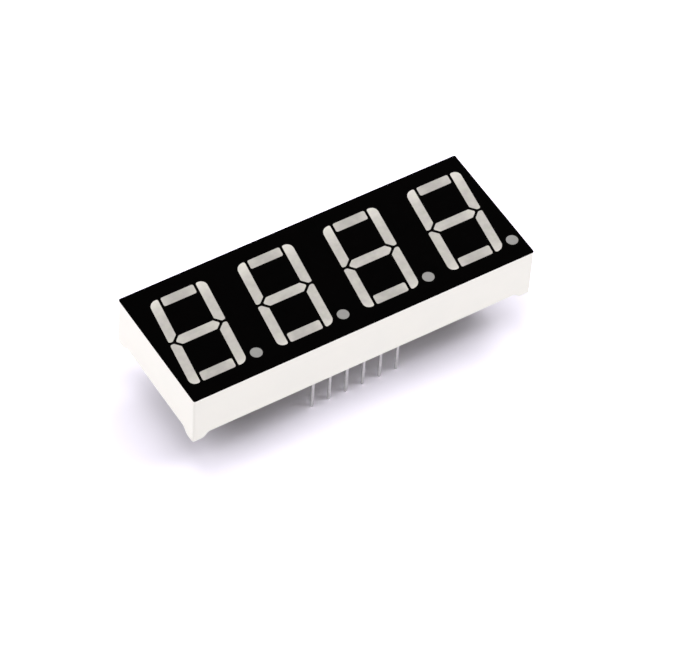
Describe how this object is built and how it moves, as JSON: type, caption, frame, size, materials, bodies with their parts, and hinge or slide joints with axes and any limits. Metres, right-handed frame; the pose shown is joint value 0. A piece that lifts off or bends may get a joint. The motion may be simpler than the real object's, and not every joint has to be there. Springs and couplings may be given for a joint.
{
  "type": "seven segment display module",
  "caption": "Flat oblong display module with a row of slanted seven segment digits and decimal points in a black face, on two rows of straight through-hole pins.",
  "frame": {"origin": "middle of the bounding box's bottom, in the plane of the pin tips", "axes": "+X along the row of digits in reading direction, +Y towards the top of the digits, +Z out of the face, away from the pins"},
  "size_m": [0.0502, 0.019, 0.0143],
  "materials": {
    "housing": "satin off-white moulded plastic, opaque and reflecting",
    "face_ink": "deep black matt ink",
    "segment_resin": "warm light grey diffusing epoxy, slightly mottled, satin",
    "point_resin": "neutral light grey diffusing epoxy, satin",
    "board": "fibreglass laminate",
    "copper": "bright copper foil",
    "potting": "milky epoxy, glossy, levelled in casting",
    "solder": "bright solder",
    "tinned_wire": "bright tinned wire",
    "chip": "cut semiconductor crystal",
    "gold_wire": "gold wire"
  },
  "bodies": {
    "root": {"reflector_housing": "housing", "face_ink": "face_ink", "circuit_board": "board", "board_copper": "copper", "back_potting": "potting", "solder_joints": "solder", "digit_1_segment_a": "segment_resin", "digit_1_segment_b": "segment_resin", "digit_1_segment_c": "segment_resin", "digit_1_segment_d": "segment_resin", "digit_1_segment_e": "segment_resin", "digit_1_segment_f": "segment_resin", "digit_1_segment_g": "segment_resin", "digit_1_decimal_point": "point_resin", "digit_2_segment_a": "segment_resin", "digit_2_segment_b": "segment_resin", "digit_2_segment_c": "segment_resin", "digit_2_segment_d": "segment_resin", "digit_2_segment_e": "segment_resin", "digit_2_segment_f": "segment_resin", "digit_2_segment_g": "segment_resin", "digit_2_decimal_point": "point_resin", "digit_3_segment_a": "segment_resin", "digit_3_segment_b": "segment_resin", "digit_3_segment_c": "segment_resin", "digit_3_segment_d": "segment_resin", "digit_3_segment_e": "segment_resin", "digit_3_segment_f": "segment_resin", "digit_3_segment_g": "segment_resin", "digit_3_decimal_point": "point_resin", "digit_4_segment_a": "segment_resin", "digit_4_segment_b": "segment_resin", "digit_4_segment_c": "segment_resin", "digit_4_segment_d": "segment_resin", "digit_4_segment_e": "segment_resin", "digit_4_segment_f": "segment_resin", "digit_4_segment_g": "segment_resin", "digit_4_decimal_point": "point_resin", "led_chips_digit_1": "chip", "led_chips_digit_2": "chip", "led_chips_digit_3": "chip", "led_chips_digit_4": "chip", "bond_wires_digit_1": "gold_wire", "bond_wires_digit_2": "gold_wire", "bond_wires_digit_3": "gold_wire", "bond_wires_digit_4": "gold_wire", "pin_1": "tinned_wire", "pin_2": "tinned_wire", "pin_3": "tinned_wire", "pin_4": "tinned_wire", "pin_5": "tinned_wire", "pin_6": "tinned_wire", "pin_7": "tinned_wire", "pin_8": "tinned_wire", "pin_9": "tinned_wire", "pin_10": "tinned_wire", "pin_11": "tinned_wire", "pin_12": "tinned_wire"}
  },
  "joints": []
}
